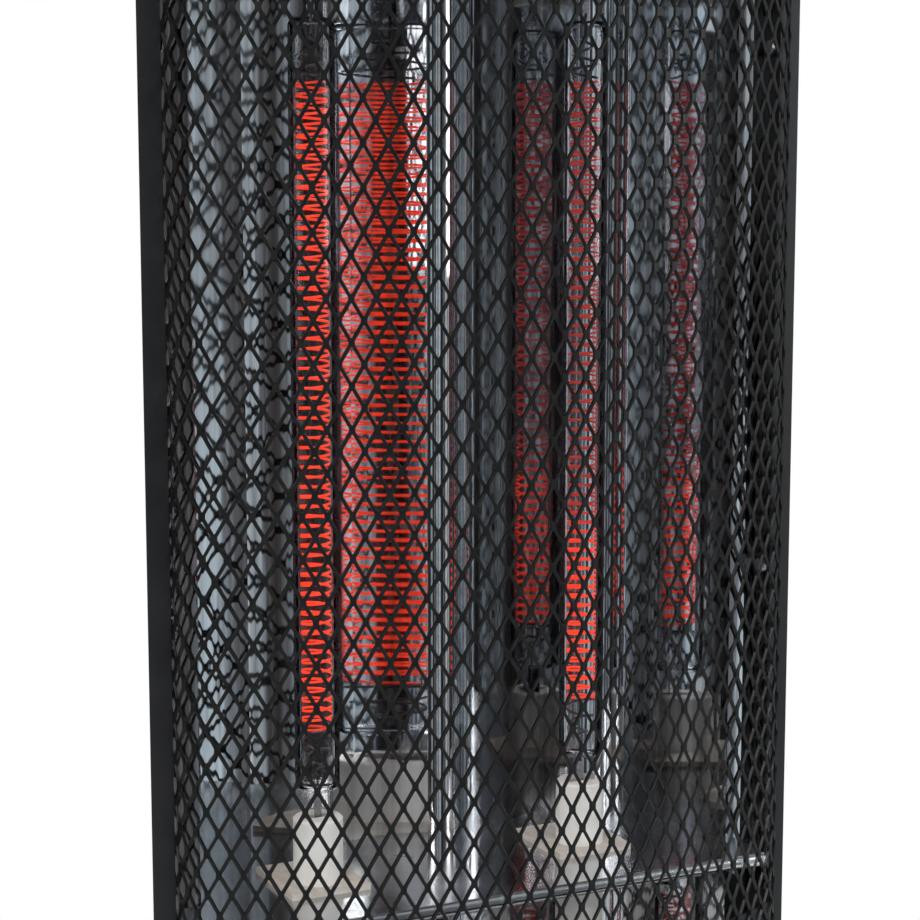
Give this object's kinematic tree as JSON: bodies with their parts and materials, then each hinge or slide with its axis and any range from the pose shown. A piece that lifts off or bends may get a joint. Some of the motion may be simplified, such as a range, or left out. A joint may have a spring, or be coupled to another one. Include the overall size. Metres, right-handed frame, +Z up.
{
  "type": "quartz heater",
  "caption": "Free-standing quartz tower heater: upright glass lamps in mirror troughs on two tiers, behind a bowed expanded-metal guard, with a selector knob in its foot.",
  "frame": {"origin": "on the floor under the middle of the base", "axes": "+X to the right seen from the front, +Y from the front to the back, +Z up"},
  "size_m": [0.32, 0.23, 0.9842],
  "materials": {
    "band_paint": "satin black",
    "base_plastic": "fine grain",
    "cap_ceramic": "matt",
    "cap_plastic": "fine grain",
    "casing_paint": "satin charcoal",
    "cup_steel": "polished",
    "cutout_ceramic": "glazed",
    "fascia_plastic": "fine grain",
    "gland_rubber": "matte",
    "handle_plastic": "fine grain",
    "hot_wire": "glowing",
    "knob_plastic": "satin",
    "lamp_glass_small": "clear",
    "lead_metal": "oxidised",
    "lens_amber": "clear amber",
    "mesh_paint": "satin black",
    "mirror_sheet": "polished",
    "pad_board": "pressed mineral board",
    "plunger_plastic": "moulded",
    "post_paint": "satin charcoal",
    "quartz": "clear",
    "rubber": "matte",
    "screw_steel": "zinc plated",
    "shelf_steel": "satin polished",
    "spring_steel": "drawn",
    "switch_brass": "turned",
    "switch_plastic": "moulded",
    "wire_cover": "glass-fibre sleeve",
    "zinc_steel": "zinc plated"
  },
  "bodies": {
    "heater": {"base_cover": "base_plastic", "bottom_band": "band_paint", "bottom_plate": "zinc_steel", "bottom_plate_screws": "screw_steel", "carry_handle": "handle_plastic", "column_foot_plate": "zinc_steel", "column_screws": "screw_steel", "control_fascia": "fascia_plastic", "cord_gland": "gland_rubber", "foot_screws": "screw_steel", "guard_screws": "screw_steel", "handle_screws": "screw_steel", "left_post": "post_paint", "lower_lamp_cups": "cup_steel", "lower_lamp_pads": "pad_board", "lower_lamp_wires": "wire_cover", "lower_left_ceramic_caps": "cap_ceramic", "lower_left_heating_coil": "hot_wire", "lower_left_lamp_leads": "lead_metal", "lower_left_quartz_tube": "quartz", "lower_reflector": "mirror_sheet", "lower_right_ceramic_caps": "cap_ceramic", "lower_right_heating_coil": "hot_wire", "lower_right_lamp_leads": "lead_metal", "lower_right_quartz_tube": "quartz", "lower_shelf": "shelf_steel", "mesh_guard": "mesh_paint", "middle_band": "band_paint", "pilot_lamp": "lamp_glass_small", "pilot_lens": "lens_amber", "rear_casing": "casing_paint", "right_post": "post_paint", "roof_plate": "zinc_steel", "rotary_switch": "switch_plastic", "rubber_feet": "rubber", "switch_nut": "switch_brass", "terminal_block": "switch_plastic", "terminal_screws": "screw_steel", "thermal_cutout": "cutout_ceramic", "tilt_spring": "spring_steel", "tilt_switch": "switch_plastic", "top_band": "band_paint", "top_cap": "cap_plastic", "top_cap_screws": "screw_steel", "upper_lamp_cups": "cup_steel", "upper_lamp_pads": "pad_board", "upper_lamp_wires": "wire_cover", "upper_left_ceramic_caps": "cap_ceramic", "upper_left_heating_coil": "hot_wire", "upper_left_lamp_leads": "lead_metal", "upper_left_quartz_tube": "quartz", "upper_reflector": "mirror_sheet", "upper_right_ceramic_caps": "cap_ceramic", "upper_right_heating_coil": "hot_wire", "upper_right_lamp_leads": "lead_metal", "upper_right_quartz_tube": "quartz", "upper_shelf": "shelf_steel"},
    "knob": {"selector_knob": "knob_plastic", "knob_shaft": "switch_brass"},
    "plunger": {"tilt_plunger": "plunger_plastic"}
  },
  "joints": [
    {"name": "knob_turn", "type": "hinge", "parent": "heater", "child": "knob", "pos_m": [0, -0.09, 0.086], "axis": [0, 1, 0], "range_deg": [0, 240]},
    {"name": "plunger_travel", "type": "slide", "parent": "heater", "child": "plunger", "axis": [0, 0, 1], "range_m": [-0.0058, 0.001], "stiffness_N_per_m": 100, "springref_m": -0.008, "deforming": ["tilt_spring"]}
  ]
}
